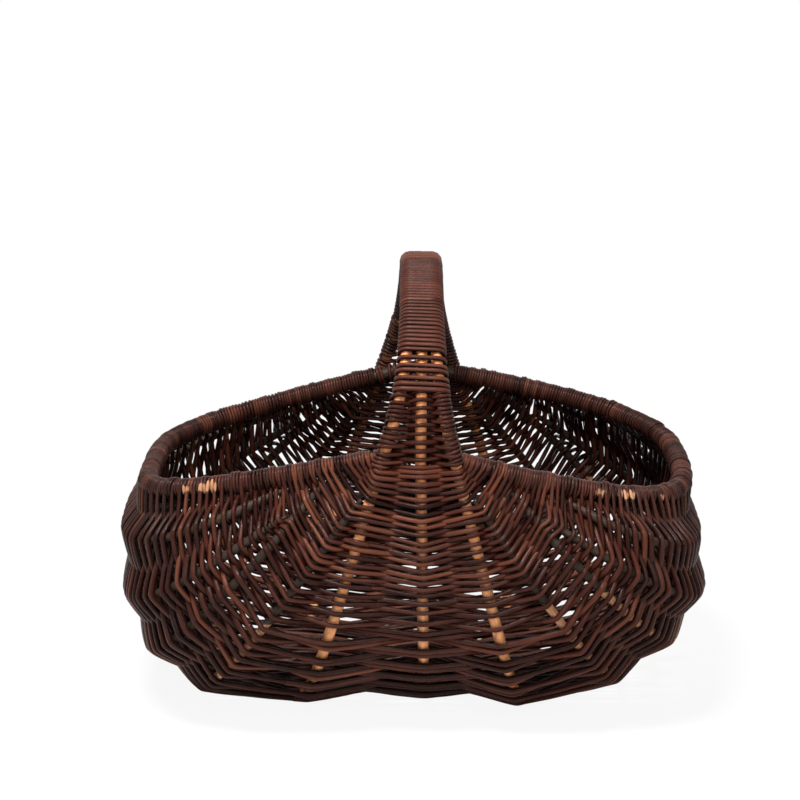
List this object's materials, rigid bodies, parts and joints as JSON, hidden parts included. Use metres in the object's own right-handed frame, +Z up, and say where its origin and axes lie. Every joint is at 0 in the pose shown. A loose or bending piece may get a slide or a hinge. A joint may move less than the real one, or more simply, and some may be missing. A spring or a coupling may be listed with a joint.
{
  "type": "wicker shopping basket",
  "caption": "Oval frame basket of brown willow: long rods form the arched handle and run under the body, ribs fan out, and willow is woven from rim to rim.",
  "frame": {"origin": "centre of the bounding box, on the surface that the basket stands on", "axes": "+Z up, +X along the basket's length to its right end, -Y to the side that faces the viewer"},
  "size_m": [0.4428, 0.3564, 0.3312],
  "materials": {
    "buff_willow": "satin",
    "brown_willow": "satin",
    "rib_willow": "matte",
    "weave_willow": "satin",
    "binding_willow": "satin"
  },
  "bodies": {
    "root": {"handle_rod_left": "buff_willow", "handle_rod_centre": "buff_willow", "handle_rod_right": "buff_willow", "rim_hoop": "brown_willow", "rim_wrap_left": "weave_willow", "rim_wrap_right": "weave_willow", "left_rib_1": "rib_willow", "left_rib_2": "rib_willow", "left_rib_3": "rib_willow", "left_rib_4": "rib_willow", "right_rib_1": "rib_willow", "right_rib_2": "rib_willow", "right_rib_3": "rib_willow", "right_rib_4": "rib_willow", "middle_weave_left": "weave_willow", "middle_weave_right": "weave_willow", "left_weave_1": "weave_willow", "left_weave_2": "weave_willow", "left_weave_3": "weave_willow", "left_weave_4": "weave_willow", "left_weave_5": "weave_willow", "right_weave_1": "weave_willow", "right_weave_2": "weave_willow", "right_weave_3": "weave_willow", "right_weave_4": "weave_willow", "right_weave_5": "weave_willow", "handle_binding": "binding_willow"}
  },
  "joints": []
}
